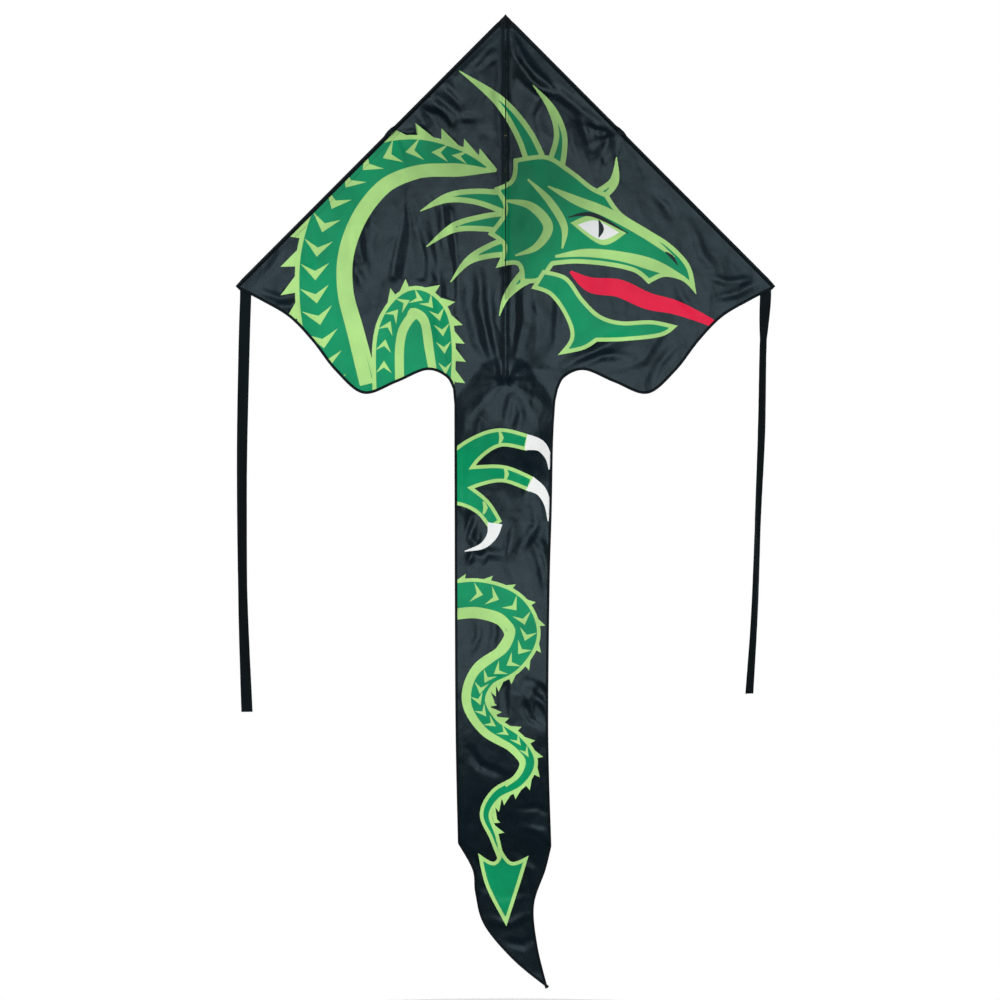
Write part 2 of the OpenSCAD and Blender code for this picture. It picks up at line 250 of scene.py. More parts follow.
# Each layer of the print in the order it is laid down: outline, colour, and how wide a
# border of the colour under it is left showing
PRINT = (
    # back and shoulder
    all_in(fins(BODY, 56, 34, -1), LIGHT) + ringed([ribbon(BODY)], 10)
    + all_in(chevrons(BODY[1:], 40, -0.3, 19) + [beside(BODY, 0.68, 15)], LIGHT)
    # coil
    + ringed([arch(-204, -722, 64, 44, -890)], 9)
    + all_in(fins(COIL[2:], 40, 20, 1), LIGHT) + ringed([ribbon(COIL)], 9)
    + all_in(chevrons(COIL, 36, 0.25, 14) + [beside(COIL, -0.66, 8)], LIGHT)
    # horns and mane, then the head
    + ringed([ribbon(h) for h in HORNS], 12)
    + ringed([SKULL], 10)
    + all_in([
        ribbon([(112, -546, 3), (180, -538, 9), (260, -546, 11), (334, -566, 13), (404, -596, 4)]),
        ribbon([(96, -388, 2), (160, -420, 10), (230, -448, 11), (310, -494, 9), (380, -548, 2)]),
        ribbon([(-6, -420, 2), (56, -432, 9), (96, -478, 11), (70, -524, 8), (22, -544, 2)]),
        ribbon([(50, -372, 2), (98, -420, 8), (132, -478, 8), (128, -528, 2)]),
        outline([(146, -470, C), (200, -454), (274, -492, C), (218, -520)])], LIGHT)
    + all_in([outline([(162, -475, C), (204, -465), (256, -492, C), (214, -508)])], WHITE)
    + all_in([
        ribbon([(140, -458, 1), (196, -452, 5), (276, -494, 1)]),
        ribbon([(210, -464, 1), (216, -484, 6), (210, -503, 1)]),
        ribbon([(360, -536, 1), (374, -546, 4), (388, -566, 1)])], BLACK)
    + ringed([JAW], 9)
    + all_in([ribbon([(146, -580, 3), (192, -610, 17), (256, -618, 20), (320, -646, 19), (380, -660, 16),
                      (440, -684, 11), (480, -704, 7)])], RED)
    # claw
    + ringed([ribbon(t) for t in TOES], 8)
    + all_in([ribbon([(t[2][0], t[2][1] + 14, 2), (t[2][0] + 5, t[2][1], 5), (t[2][0], t[2][1] - 14, 2)])
              for t in TOES], LIGHT)
    + all_in([ribbon(t) for t in TALONS], WHITE)
    # tail of the dragon
    + all_in(fins(SERPENT[:-1], 30, 12, 1), LIGHT) + ringed([ribbon(SERPENT)], 8)
    + all_in(chevrons(SERPENT[1:10], 34, 0.25, 13) + [beside(SERPENT[:12], -0.64, 9)], LIGHT)
    + ringed([LEAF], 8)
    # a black triangle round the nose, darker than the sail about it
    + all_in([[(0, 4), (12, -8), (17, -32), (0, -38), (-17, -32), (-12, -8)]], BLACK))


def inside(poly, x, z):
    """Which of the points lie in a closed outline."""
    p = np.asarray(poly, float)
    q = np.roll(p, -1, 0)
    hit = np.zeros(len(x), bool)
    for (x0, z0), (x1, z1) in zip(p, q):
        if z0 == z1:
            continue
        cross = ((z0 > z) != (z1 > z)) & (x < (x1 - x0) * (z - z0) / (z1 - z0) + x0)
        hit ^= cross
    return hit


def distance(poly, x, z):
    """How far each point lies from a closed outline."""
    p = np.asarray(poly, float)
    q = np.roll(p, -1, 0)
    best = np.full(len(x), 1e9)
    for (x0, z0), (x1, z1) in zip(p, q):
        dx, dz = x1 - x0, z1 - z0
        t = np.clip(((x - x0) * dx + (z - z0) * dz) / max(dx * dx + dz * dz, 1e-9), 0, 1)
        best = np.minimum(best, (x - x0 - t * dx) ** 2 + (z - z0 - t * dz) ** 2)
    return np.sqrt(best)


def contour(poly, inset, pitch=2.5):
    """Line pieces that run at a fixed distance inside an outline."""
    p = np.asarray(poly, float)
    lo, hi = p.min(0) - 2 * pitch, p.max(0) + 2 * pitch
    xs, zs = np.arange(lo[0], hi[0], pitch), np.arange(lo[1], hi[1], pitch)
    gx, gz = np.meshgrid(xs, zs, indexing="ij")
    fx, fz = gx.ravel(), gz.ravel()
    field = np.where(inside(poly, fx, fz), distance(poly, fx, fz), -1.0) - inset
    field = field.reshape(gx.shape)
    field[field == 0] = 1e-6
    pieces = []
    for i, j in np.argwhere(
            (np.maximum.reduce([field[:-1, :-1], field[1:, :-1], field[:-1, 1:], field[1:, 1:]]) > 0)
            & (np.minimum.reduce([field[:-1, :-1], field[1:, :-1], field[:-1, 1:], field[1:, 1:]]) < 0)):
        ring = [(i, j), (i + 1, j), (i + 1, j + 1), (i, j + 1)]
        cuts = []
        for a, b in zip(ring, ring[1:] + ring[:1]):
            fa, fb = field[a], field[b]
            if (fa > 0) != (fb > 0):
                t = fa / (fa - fb)
                cuts.append((xs[a[0]] + t * (xs[b[0]] - xs[a[0]]), zs[a[1]] + t * (zs[b[1]] - zs[a[1]])))
        for k in range(0, len(cuts) - 1, 2):
            pieces.append((cuts[k], cuts[k + 1]))
    return pieces


# ------------------------------------------------------------------ how the cloth lies

def smooth(a, b, v):
    t = np.clip((v - a) / (b - a), 0, 1)
    return t * t * (3 - 2 * t)


def crease(x, z, line, amp, left, right, soft=1.5):
    """A sharp fold along a line from its first point to its last, falling off evenly to both
    sides over the widths given for its left and its right."""
    out = np.zeros_like(x)
    left, right = max(left, abs(amp) / 0.15), max(right, abs(amp) / 0.15)
    lo, hi = np.min(line, 0) - max(left, right), np.max(line, 0) + max(left, right)
    at = np.flatnonzero((x > lo[0]) & (x < hi[0]) & (z > lo[1]) & (z < hi[1]))
    if not len(at):
        return out
    x, z = x[at], z[at]
    best, near = np.zeros(len(at)), np.full(len(at), 1e9)
    total = sum(math.dist(a, b) for a, b in zip(line, line[1:]))
    run = 0.0
    for a, b in zip(line, line[1:]):
        ln = math.dist(a, b)
        dx, dz = (b[0] - a[0]) / ln, (b[1] - a[1]) / ln
        t = np.clip((x - a[0]) * dx + (z - a[1]) * dz, 0, ln)
        ex, ez = x - a[0] - t * dx, z - a[1] - t * dz
        d = np.hypot(ex, ez)
        width = np.where(ex * dz - ez * dx < 0, left, right)
        taper = np.sin(np.pi * np.clip((run + t) / total, 0.03, 0.97)) ** 0.6
        slope = 1 - (np.sqrt(d * d + soft * soft) - soft) / width
        h = amp * taper * 0.5 * (slope + np.sqrt(slope * slope + 0.004))
        best = np.where(d < near, h, best)
        near = np.minimum(near, d)
        run += ln
    out[at] = best
    return out


def gathers(x, z, cx, cz, rays, reach, amp, seed, low=-400.0, high=400.0):
    """Puckers that run out from a point where the cloth is sewn tight."""
    dx, dz = x - cx, z - cz
    r = np.hypot(dx, dz) + 1e-6
    th = np.degrees(np.arctan2(dz, dx))
    rng = np.random.default_rng(seed)
    out = np.zeros_like(x)
    for k in range(rays):
        at = low + (high - low) * (k + rng.uniform(0.15, 0.85)) / rays
        wide = rng.uniform(5, 11)
        far = reach * rng.uniform(0.5, 1.2)
        gap = (th - at + 180) % 360 - 180
        size = amp * rng.uniform(0.4, 1.0) * (1 if k % 2 else -0.8)
        out += size * np.exp(-(gap / wide) ** 2) * (r / 18) * np.exp(-r / (far * 0.35)) * 1.4
    return out


def pleats(x, z, ring, turn, period, slope):
    """Slack cloth lying in shallow pleats over part of the sail. turn is the angle the pleats
    run at, measured from upright, in degrees."""
    out = np.zeros_like(x)
    at = np.flatnonzero(inside(ring, x, z))
    if not len(at):
        return out
    px, pz = x[at], z[at]
    t = math.radians(turn)
    across = px * math.cos(t) + pz * math.sin(t)
    along = pz * math.cos(t) - px * math.sin(t)
    across = across + 0.22 * period * np.sin(along / 57.0 + across / 41.0)
    phase = (across / period) % 1.0
    tri = np.where(phase < 0.6, phase / 0.6, (1 - phase) / 0.4) - 0.5
    out[at] = slope * period * 0.5 * tri * smooth(0, 14, distance(ring, px, pz))
    return out


def rumple(x, z, scale, seed, ridged=False):
    out = np.empty(len(x))
    for i, (a, b) in enumerate(zip(x, z)):
        p = Vector((a / scale, b / scale, seed * 7.3))
        if ridged:
            out[i] = noise.ridged_multi_fractal(p, 1.0, 2.1, 3, 1.0, 2.0) - 1.0
        else:
            out[i] = noise.fractal(p, 1.0, 2.0, 3)
    return out


# Creases: the line, the height and how far it fades to its left and right
CREASES = [
    # nose and upper sail
    ([(-8, -24), (-60, -96), (-128, -150)], -2.6, 9, 22),
    ([(10, -26), (46, -110), (92, -176)], -2.4, 20, 8),
    ([(-20, -90), (-34, -180), (-26, -260)], -1.8, 12, 20),
    ([(52, -154), (120, -178), (196, -236), (250, -258)], 3.2, 12, 16),
    ([(96, -176), (70, -230), (84, -290)], -2.2, 20, 9),
    ([(168, -226), (182, -270), (196, -318)], 3.0, 8, 12),
    ([(146, -236), (150, -290), (170, -340)], -2.0, 16, 8),
    ([(250, -268), (222, -300), (206, -352)], -2.8, 8, 14),
    ([(256, -272), (250, -316), (256, -356)], 2.4, 8, 10),
    ([(246, -262), (214, -262), (176, -250)], -1.8, 8, 8),
    ([(268, -276), (300, -320), (310, -360)], 1.8, 12, 10),
    ([(-250, -262), (-214, -268), (-176, -246)], 2.0, 9, 9),
    ([(-252, -268), (-236, -310), (-226, -352)], -2.0, 9, 12),
    ([(-150, -200), (-110, -232), (-60, -236)], 2.2, 12, 9),
    ([(-196, -214), (-150, -226), (-118, -262)], -2.0, 9, 14),
    # left wing
    ([(-216, -400), (-184, -490), (-140, -604)], -2.4, 30, 14),
    ([(-336, -440), (-352, -500), (-344, -560)], 3.0, 8, 12),
    ([(-352, -560), (-330, -590), (-320, -620)], -2.4, 10, 8),
    ([(-300, -430), (-306, -520), (-296, -590)], -2.6, 18, 12),
    ([(-420, -470), (-450, -540), (-440, -620)], 2.0, 16, 12),
    ([(-560, -622), (-510, -640), (-460, -636)], 2.4, 9, 9),
    ([(-548, -598), (-520, -560), (-500, -520)], -1.8, 14, 9),
    ([(-520, -660), (-470, -660), (-440, -690)], -1.8, 12, 8),
    # middle, above the end of the spine
    ([(-92, -540), (-86, -640), (-62, -740), (-22, -812)], 3.2, 22, 10),
    ([(-60, -560), (-56, -660), (-40, -740), (-14, -812)], -2.6, 8, 14),
    ([(-40, -590), (-32, -690), (-10, -812)], 2.4, 12, 7),
    ([(40, -570), (40, -690), (12, -810)], 3.0, 12, 16),
    ([(-128, -560), (-132, -680), (-106, -800)], -2.4, 26, 14),
    ([(-150, -600), (-152, -700), (-140, -790)], 2.0, 14, 14),
    ([(124, -590), (118, -680), (108, -780)], -2.4, 10, 12),
    ([(20, -600), (22, -700), (6, -806)], -2.0, 7, 12),
    # right wing
    ([(120, -806), (160, -780), (236, -742), (290, -724)], 3.8, 8, 14),
    ([(150, -792), (220, -768), (280, -770)], -2.4, 12, 12),
    ([(566, -606), (520, -630), (470, -640)], 2.6, 9, 10),
    ([(560, -596), (500, -604), (452, -590)], -2.2, 12, 9),
    ([(420, -470), (440, -540), (480, -590)], -1.8, 16, 14),
    ([(380, -470), (360, -430), (330, -400)], 2.0, 14, 12),
    ([(250, -800), (310, -780), (360, -700)], -2.2, 22, 14),
    ([(330, -840), (345, -790), (390, -740)], 2.0, 14, 10),
    ([(440, -690), (400, -640), (380, -590)], 1.6, 14, 10),
    # under the end of the spine, and the top of the tail
    ([(12, -850), (6, -890), (-2, -930)], 2.6, 10, 7),
    ([(26, -862), (34, -900), (26, -945)], 2.6, 8, 9),
    ([(-48, -890), (-60, -925), (-64, -975)], 2.4, 8, 8),
    ([(64, -590), (74, -700), (64, -806)], 8.0, 110, 46),
    ([(-148, -424), (-142, -600), (-146, -760)], 5.0, 30, 30),
    # tail
    ([(-96, -900), (-100, -1060), (-92, -1240)], -2.6, 10, 22),
    ([(96, -1000), (90, -1130), (100, -1230)], -2.6, 16, 10),
    ([(40, -1010), (52, -1040), (46, -1090)], 3.0, 8, 10),
    ([(20, -1130), (14, -1180), (0, -1240)], 3.4, 20, 8),
    ([(62, -1090), (70, -1150), (30, -1210)], -3.0, 14, 10),
    ([(54, -1180), (86, -1220), (98, -1300)], 4.0, 8, 18),
    ([(-90, -1230), (-40, -1215), (0, -1216)], 3.0, 8, 8),
    ([(-70, -1140), (-80, -1180), (-40, -1226)], -2.4, 12, 8),
    ([(-30, -1340), (-24, -1390), (-34, -1440)], -2.4, 10, 8),
    ([(-64, -1360), (-60, -1400), (-80, -1440)], 2.0, 10, 8),
    ([(-12, -1480), (-16, -1550), (-12, -1612)], 4.0, 12, 8),
    ([(40, -1490), (60, -1520), (96, -1540)], 3.6, 10, 10),
    ([(34, -1548), (66, -1580), (98, -1606)], 3.8, 8, 12),
    ([(60, -1500), (54, -1540), (60, -1576)], -3.0, 12, 9),
    ([(-90, -1640), (-60, -1690), (0, -1716)], 2.6, 9, 9),
    ([(-96, -1700), (-90, -1780), (-98, -1850)], -2.4, 10, 14),
    ([(30, -1790), (70, -1786), (98, -1800)], 1.8, 9, 9),
    ([(40, -1830), (84, -1842), (100, -1870)], -2.2, 10, 10),
    ([(-100, -1880), (-66, -1912), (-40, -1960)], 3.2, 9, 12),
    ([(-60, -1960), (-10, -1990), (50, -1976)], 2.4, 12, 12),
    ([(20, -1900), (60, -1930), (70, -1990)], -2.6, 12, 10),
    ([(-40, -2040), (10, -2050), (50, -2030)], -2.2, 12, 12),
    ([(0, -2090), (40, -2100), (66, -2080)], 2.2, 12, 10),
]


# Areas of small parallel folds: outline, direction, period and slope
PLEATED = [
    # beside the shoulder, right of the spine, under the nose and down the tail
    ([(-222, -402), (-276, -604), (-150, -606)], 4, 52, 0.17),
    ([(-176, -404), (-100, -440), (-104, -560), (-104, -800), (-142, -790), (-150, -620)], 3, 46, 0.17),
    ([(-226, -222), (-130, -130), (-84, -226), (-150, -300)], 40, 48, 0.15),
    ([(6, -70), (96, -140), (130, -176), (70, -196), (12, -150)], 48, 44, 0.18),
    ([(-30, -60), (-96, -124), (-60, -130), (-12, -110)], -46, 36, 0.16),
    ([(180, -228), (246, -262), (230, -350), (196, -330)], 20, 40, 0.17),
    ([(-346, -470), (-300, -470), (-306, -560), (-350, -590)], 6, 36, 0.18),
    ([(-96, -1100), (-60, -1130), (-30, -1240), (-90, -1256)], -30, 40, 0.16),
    ([(60, -1180), (100, -1180), (96, -1330), (84, -1330)], 12, 30, 0.18),
    ([(-20, -1500), (12, -1500), (14, -1606), (-40, -1590)], 4, 40, 0.18),
    ([(50, -1500), (96, -1500), (96, -1610), (44, -1596)], 36, 40, 0.17),
]


DOME = [(-18, -829), (-8, -823), (8, -823), (17, -829), (33, -860), (51, -876), (66, -903), (73, -925),
        (73, -1100), (-88, -1100), (-87, -912), (-62, -884), (-42, -858)]


def lie(x, z):
    """How far behind the flat the cloth lies, in millimetres, at points of the plan."""
    x, z = np.asarray(x, float), np.asarray(z, float)
    y = np.zeros_like(x)
    for line, amp, left, right in CREASES:
        y += crease(x, z, line, 0.72 * amp, left, right)
    y += gathers(x, z, 0, SPINE_END - 6, 20, 110, 0.5, 3)
    # slack cloth stands out in a dome under the end of the spine
    off = np.where(inside(DOME, x, z), 0.0, distance(DOME, x, z))
    y -= 8 * np.clip(1 - off / 52, 0, 1) * smooth(-1080, -930, z)
    hx, hz = on_edge(HOOK_AT, 10)
    for side, seed in ((-1, 5), (1, 6)):
        y += gathers(x, z, side * hx, hz, 14, 90, 1.4, seed)
    y += gathers(x, z, 0, -12, 22, 120, 1.1, 8)
    sail = smooth(FOLD_Z - 60, FOLD_Z + 20, z)
    y += 1.1 * rumple(x + 0.25 * z, z * 0.7, 130, 1)
    y += (0.7 - 0.25 * sail) * rumple(x, z * 0.8 + 0.3 * x, 72, 2, True)
    y += 0.07 * rumple(x, z, 17, 3)
    for ring, turn, period, slope in PLEATED:
        y += pleats(x, z, ring, turn, period, 0.85 * slope)
    # puckers along the leading-edge seam
    w = edge_w(x, z) - SEAM_W
    s = np.abs(x) * EC - z * ES
    y += 0.45 * np.exp(-np.clip(w, 0, None) / 16) * rumple(s, 0.12 * w + np.sign(x) * 40, 13, 4)
    # flat where it is sewn to the spars and the spine
    y *= smooth(0, 26, w) * 0.95 + 0.05
    spine = smooth(SPINE_END - 26, SPINE_END + 6, z)
    y *= 1 - spine * (1 - smooth(5, 26, np.abs(x)))
    # the spine's ridge
    rise = 3.0 + 1.3 * np.exp(-((z - SPINE_END + 4) / 16) ** 4) + 1.1 * np.exp(-((z + 19) / 14) ** 4)
    y -= spine * rise * np.clip(1 - np.sqrt(x * x + 1.5) / 15, 0, 1) ** 1.6
    # a slow wave down the tail
    d = np.clip(FOLD_Z - z, 0, None)
    y += 12 * np.sin(np.radians(d * 0.36)) * np.minimum(1, d / 300)
    return y


def place(x, y, z):
    """Points of the plan as positions in metres in the row frame."""
    x, y, z = np.broadcast_arrays(np.asarray(x, float), np.asarray(y, float), np.asarray(z, float))
    return np.stack([x, SAIL_Y + y, NOSE_Z + z], -1) * MM


def make_mesh(name, verts, faces, materials, indices=None):
    mesh = bpy.data.meshes.new(name)
    mesh.from_pydata([tuple(map(float, v)) for v in verts], [], [tuple(map(int, f)) for f in faces])
    for m in materials:
        mesh.materials.append(m)
    if indices is not None:
        mesh.polygons.foreach_set("material_index", np.asarray(indices, np.int32))
    mesh.polygons.foreach_set("use_smooth", np.ones(len(mesh.polygons), bool))
    mesh.update()
    obj = bpy.data.objects.new(name, mesh)
    scene.collection.objects.link(obj)
    return obj


def plan_mesh(name, verts, faces, material):
    """A mesh in one material whose points are given in the plan."""
    v = np.array(verts)
    return make_mesh(name, place(v[:, 0], v[:, 1], v[:, 2]), faces, [material])


def quads(rows, cols, closed=False, flip=False):
    """Faces of a grid of points that was filled row by row. closed joins the ends of each row."""
    faces = []
    for i in range(rows - 1):
        for k in range(cols if closed else cols - 1):
            a, b = i * cols + k, i * cols + (k + 1) % cols
            faces.append((a, a + cols, b + cols, b) if flip else (a, b, b + cols, a + cols))
    return faces


def fill(ring, pitch, margin, hole=None, simple=False):
    """Triangles inside an outline, on a grid that keeps a margin from it: points and faces.
    hole is a round hole's centre and radius. A simple outline needs no sorting afterwards."""
    lo, hi = ring.min(0), ring.max(0)
    gx, gz = np.meshgrid(np.arange(lo[0], hi[0], pitch), np.arange(lo[1], hi[1], pitch))
    gx, gz = gx.ravel(), gz.ravel()
    ok = inside(ring, gx, gz)
    ok[ok] = distance(ring, gx[ok], gz[ok]) > margin
    rings = [ring]
    if hole:
        cx, cz, r = hole
        rings.append(disc(cx, cz, r, 28))
        ok &= np.hypot(gx - cx, gz - cz) > r + 2
    edges, n = [], 0
    for loop in rings:
        edges += [(n + i, n + (i + 1) % len(loop)) for i in range(len(loop))]
        n += len(loop)
    points = np.concatenate(rings + [np.stack([gx[ok], gz[ok]], -1)])
    got = geometry.delaunay_2d_cdt([Vector(p) for p in points], edges, [], int(simple), 0.01, False)
    v = np.array([(p.x, p.y) for p in got[0]])
    tri = [tuple(t) for t in got[2]]
    if simple:
        return v, tri
    mid = np.array([v[list(t)].mean(0) for t in tri])
    good = inside(ring, mid[:, 0], mid[:, 1])
    if hole:
        good &= np.hypot(mid[:, 0] - cx, mid[:, 1] - cz) > r * 0.99
    return v, [t for t, g in zip(tri, good) if g]


def disc(cx, cz, r, n):
    """Points round a circle."""
    return np.array([(cx + r * math.cos(a), cz + r * math.sin(a))
                     for a in np.linspace(0, 2 * math.pi, n, endpoint=False)])


def two_layers(tri, n):
    """Faces of a thin sheet. Its near layer has the first n points and its far layer the next n."""
    uses = {}
    for t in tri:
        for a, b in zip(t, t[1:] + t[:1]):
            uses.setdefault(frozenset((a, b)), []).append((a, b))
    rim = [pair for pairs in uses.values() if len(pairs) == 1 for pair in pairs]
    return ([tuple(i + n for i in t) for t in tri] + [t[::-1] for t in tri]
            + [(a, b, b + n, a + n) for a, b in rim])


# ------------------------------------------------------------------ materials

class Nodes:
    """A material's node tree, with its Principled shader as bsdf."""

    def __init__(self, name, **constants):
        self.material = bpy.data.materials.new(name)
        self.material.use_nodes = True
        self.tree = self.material.node_tree
        self.bsdf = self.tree.nodes["Principled BSDF"]
        self.place = self.add("ShaderNodeTexCoord").outputs["Object"]
        for key, value in constants.items():
            self.bsdf.inputs[key.replace("_", " ")].default_value = value

    def add(self, kind, links=(), **values):
        node = self.tree.nodes.new(kind)
        for key, value in values.items():
            if hasattr(node, key) and key not in node.inputs:
                setattr(node, key, value)
            else:
                node.inputs[key].default_value = value
        for key, out in dict(links).items():
            self.tree.links.new(out, node.inputs[key])
        return node

    def link(self, out, key):
        self.tree.links.new(out, self.bsdf.inputs[key])

    def noise(self, scale, detail=4.0, stretch=None, rough=0.55):
        vector = self.place
        if stretch:
            vector = self.add("ShaderNodeMapping", {"Vector": vector}, Scale=stretch).outputs[0]
        return self.add("ShaderNodeTexNoise", {"Vector": vector}, Scale=scale, Detail=detail,
                        Roughness=rough).outputs["Fac"]

    def wave(self, period, direction):
        return self.add("ShaderNodeTexWave", {"Vector": self.place}, bands_direction=direction,
                        Scale=2 * math.pi / 20 / period).outputs["Fac"]

    def ramp(self, fac, stops):
        node = self.add("ShaderNodeValToRGB", {"Fac": fac})
        ramp = node.color_ramp
        while len(ramp.elements) < len(stops):
            ramp.elements.new(0.5)
        for element, (at, colour) in zip(ramp.elements, stops):
            element.position = at
            element.color = (*colour, 1)
        return node.outputs["Color"]

    def range(self, fac, low, high):
        return self.add("ShaderNodeMapRange", {"Value": fac}, **{
            "To Min": low, "To Max": high}).outputs["Result"]

    def math(self, op, a, b):
        node = self.add("ShaderNodeMath", operation=op)
        self.tree.links.new(a, node.inputs[0])
        if isinstance(b, (int, float)):
            node.inputs[1].default_value = b
        else:
            self.tree.links.new(b, node.inputs[1])
        return node.outputs[0]

    def bump(self, height, strength, distance, after=None):
        links = {"Height": height}
        if after is not None:
            links["Normal"] = after
        return self.add("ShaderNodeBump", links, Strength=strength, Distance=distance).outputs["Normal"]


def shade(colour, k):
    return tuple(min(1.0, c * k) for c in colour)


def cloth(name, colour, rough=(0.26, 0.38), level=0.4, worn=0.14, grid=0.0055, crush=0.0026):
    """Thin woven polyester with a ripstop grid, soft creases and print that varies a little."""
    n = Nodes(name, Specular_IOR_Level=level)
    blotch = n.noise(9, 5)
    n.link(n.ramp(blotch, [(0.28, shade(colour, 1 - worn)), (0.5, colour),
                           (0.74, shade(colour, 1 + worn))]), "Base Color")
    n.link(n.range(n.noise(34, 4), *rough), "Roughness")
    threads = n.math("ADD", n.wave(0.0011, "X"), n.wave(0.0011, "Z"))
    rip = n.math("MAXIMUM", n.math("POWER", n.wave(grid, "X"), 14.0),
                 n.math("POWER", n.wave(grid, "Z"), 14.0))
    fine = n.bump(n.math("ADD", threads, n.math("MULTIPLY", rip, 2.0)), 0.35, 0.00002)
    drift = n.add("ShaderNodeTexNoise", {"Vector": n.place}, Scale=7.0, Detail=2.0).outputs["Color"]
    bent = n.add("ShaderNodeVectorMath", {}, operation="MULTIPLY_ADD")
    n.tree.links.new(drift, bent.inputs[0])
    bent.inputs[1].default_value = (0.10, 0.10, 0.10)
    n.tree.links.new(n.place, bent.inputs[2])
    cells = n.add("ShaderNodeMapping", {"Vector": bent.outputs[0]}, Scale=(1.35, 1.0, 0.6)).outputs[0]
    crumple = n.add("ShaderNodeTexVoronoi", {"Vector": cells}, Scale=17.0).outputs["Distance"]
    small = n.add("ShaderNodeTexVoronoi", {"Vector": cells}, Scale=52.0).outputs["Distance"]
    soft = n.bump(crumple, 0.5, crush, fine)
    soft = n.bump(small, 0.3, crush * 0.2, soft)
    n.link(n.bump(n.noise(60, 2, rough=0.4), 0.2, 0.0002, soft), "Normal")
    return n.material


def binding(name, colour, rough=(0.5, 0.7), period=0.0016):
    """Heavier folded tape, ribbed across."""
    n = Nodes(name, Specular_IOR_Level=0.22, Sheen_Weight=0.02, Sheen_Roughness=0.5)
    n.link(n.ramp(n.noise(40, 4), [(0.3, shade(colour, 0.8)), (0.7, shade(colour, 1.25))]), "Base Color")
    n.link(n.range(n.noise(90, 3), *rough), "Roughness")
    ribs = n.math("ADD", n.wave(period, "DIAGONAL"), n.math("MULTIPLY", n.wave(period * 0.6, "X"), 0.5))
    fine = n.bump(ribs, 0.3, 0.00006)
    n.link(n.bump(n.noise(110, 4), 0.2, 0.0005, fine), "Normal")
    return n.material


def rod_material():
    n = Nodes("pultruded_fibreglass", Coat_Weight=0.25, Coat_Roughness=0.2)
    streak = n.noise(420, 3, stretch=(1, 1, 0.03))
    n.link(n.ramp(streak, [(0.3, (0.014, 0.014, 0.015)), (0.7, (0.045, 0.045, 0.046))]), "Base Color")
    n.link(n.range(streak, 0.25, 0.48), "Roughness")
    n.link(n.bump(streak, 0.3, 0.00006, n.bump(n.noise(60, 3), 0.1, 0.0002)), "Normal")
    return n.material


def moulded(name, colour, rough, scuff=0.3):
    n = Nodes(name, Specular_IOR_Level=0.45)
    grain = n.noise(900, 2)
    wear = n.noise(140, 6)
    n.link(n.ramp(wear, [(0.35, colour), (0.62, shade(colour, 1.2)),
                         (0.8, shade(colour, 1.2 + 3 * scuff))]), "Base Color")
    n.link(n.range(wear, rough - 0.08, rough + 0.14), "Roughness")
    n.link(n.bump(grain, 0.25, 0.00008, n.bump(wear, 0.15, 0.0002)), "Normal")
    return n.material


def brass_material():
    n = Nodes("eyelet_brass", Metallic=1.0)
    tarnish = n.noise(260, 6)
    n.link(n.ramp(tarnish, [(0.3, (0.62, 0.42, 0.15)), (0.55, (0.78, 0.58, 0.26)),
                            (0.8, (0.45, 0.28, 0.10))]), "Base Color")
    n.link(n.range(tarnish, 0.16, 0.38), "Roughness")
    n.link(n.bump(n.noise(1500, 3), 0.15, 0.00005, n.bump(tarnish, 0.12, 0.0001)), "Normal")
    return n.material


def thread_material():
    n = Nodes("sewing_thread", Specular_IOR_Level=0.12)
    ply = n.wave(0.0007, "DIAGONAL")
    n.link(n.ramp(ply, [(0.2, (0.003, 0.005, 0.007)), (0.8, (0.009, 0.013, 0.016))]), "Base Color")
    n.link(n.range(ply, 0.5, 0.7), "Roughness")
    n.link(n.bump(ply, 0.5, 0.0001), "Normal")
    return n.material


SAIL_DARK = (0.0012, 0.0055, 0.0085)
INKS = [
    cloth("sail_charcoal", SAIL_DARK, rough=(0.22, 0.32), level=0.5),
    cloth("print_leaf_green", (0.380, 0.635, 0.200), level=0.25, worn=0.16),
    cloth("print_emerald", (0.000, 0.238, 0.092), level=0.28, worn=0.20),
    cloth("print_bone_white", (0.80, 0.79, 0.77), level=0.2, worn=0.05),
    cloth("print_crimson", (0.72, 0.007, 0.047), level=0.25, worn=0.10),
    cloth("print_black", (0.002, 0.004, 0.006), level=0.4),
]
SLEEVE = cloth("sleeve_black", (0.0012, 0.0040, 0.0062), rough=(0.28, 0.38), level=0.45, crush=0.0016)
HEM = binding("hem_black", (0.0012, 0.0034, 0.0052), rough=(0.34, 0.46))
STREAMER = cloth("streamer_black", (0.0022, 0.0050, 0.0066), rough=(0.5, 0.64), level=0.14,
                 grid=0.02, crush=0.002)
PATCH = binding("patch_black", (0.0012, 0.0034, 0.0052), rough=(0.34, 0.48), period=0.0022)
ROD = rod_material()
CAP = moulded("vinyl_cap", (0.008, 0.008, 0.009), 0.55)
HOOK = moulded("moulded_hook", (0.010, 0.010, 0.011), 0.34, 0.5)
BRASS = brass_material()
THREAD = thread_material()

# ------------------------------------------------------------------ sail and tail, one cut of cloth

STEP = 5.0


